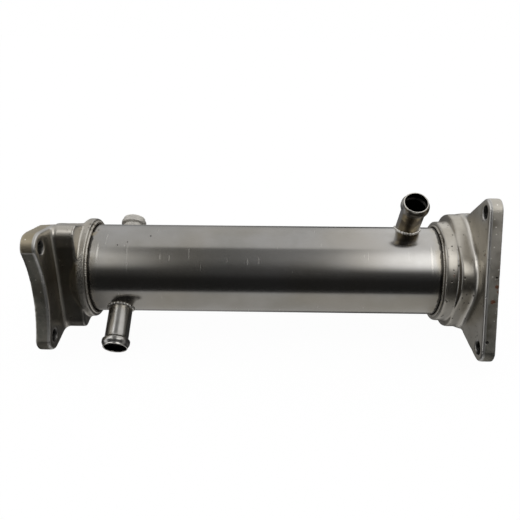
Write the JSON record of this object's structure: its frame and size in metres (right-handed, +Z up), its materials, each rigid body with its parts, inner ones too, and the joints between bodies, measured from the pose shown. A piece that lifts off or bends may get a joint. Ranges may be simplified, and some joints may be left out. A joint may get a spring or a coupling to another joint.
{
  "type": "egr cooler",
  "caption": "Straight shell-and-tube exhaust gas cooler with a cast three-bolt flange on each end and beaded coolant stubs.",
  "frame": {"origin": "where the gas axis meets the inlet flange's outer face", "axes": "+X along the gas axis to the outlet, +Z up along the inlet flange's near bolts, -Y to the viewer"},
  "size_m": [0.3045, 0.1407, 0.1114],
  "materials": {
    "shell_steel": "drawn stainless tube, bright",
    "cast_steel": "cast stainless, satin, pitted",
    "pipe_steel": "bright tube",
    "tinted_steel": "tube with brown heat tint",
    "weld_steel": "weld and braze metal",
    "core_steel": "brazed stainless core"
  },
  "bodies": {
    "root": {"shell": "shell_steel", "inlet_casting": "cast_steel", "outlet_casting": "cast_steel", "inlet_tube_sheet": "core_steel", "outlet_tube_sheet": "core_steel", "baffle_1": "core_steel", "baffle_2": "core_steel", "lower_coolant_pipe": "pipe_steel", "upper_coolant_pipe": "tinted_steel", "rear_coolant_pipe": "pipe_steel", "inlet_shell_weld": "weld_steel", "outlet_shell_weld": "weld_steel", "lower_pipe_weld": "weld_steel", "upper_pipe_weld": "weld_steel", "rear_pipe_weld": "weld_steel", "gas_tube_01": "core_steel", "gas_tube_02": "core_steel", "gas_tube_03": "core_steel", "gas_tube_04": "core_steel", "gas_tube_05": "core_steel", "gas_tube_06": "core_steel", "gas_tube_07": "core_steel", "gas_tube_08": "core_steel", "gas_tube_09": "core_steel", "gas_tube_10": "core_steel", "gas_tube_11": "core_steel", "gas_tube_12": "core_steel", "gas_tube_13": "core_steel", "gas_tube_14": "core_steel", "gas_tube_15": "core_steel", "gas_tube_16": "core_steel", "gas_tube_17": "core_steel", "gas_tube_18": "core_steel", "gas_tube_19": "core_steel"}
  },
  "joints": []
}
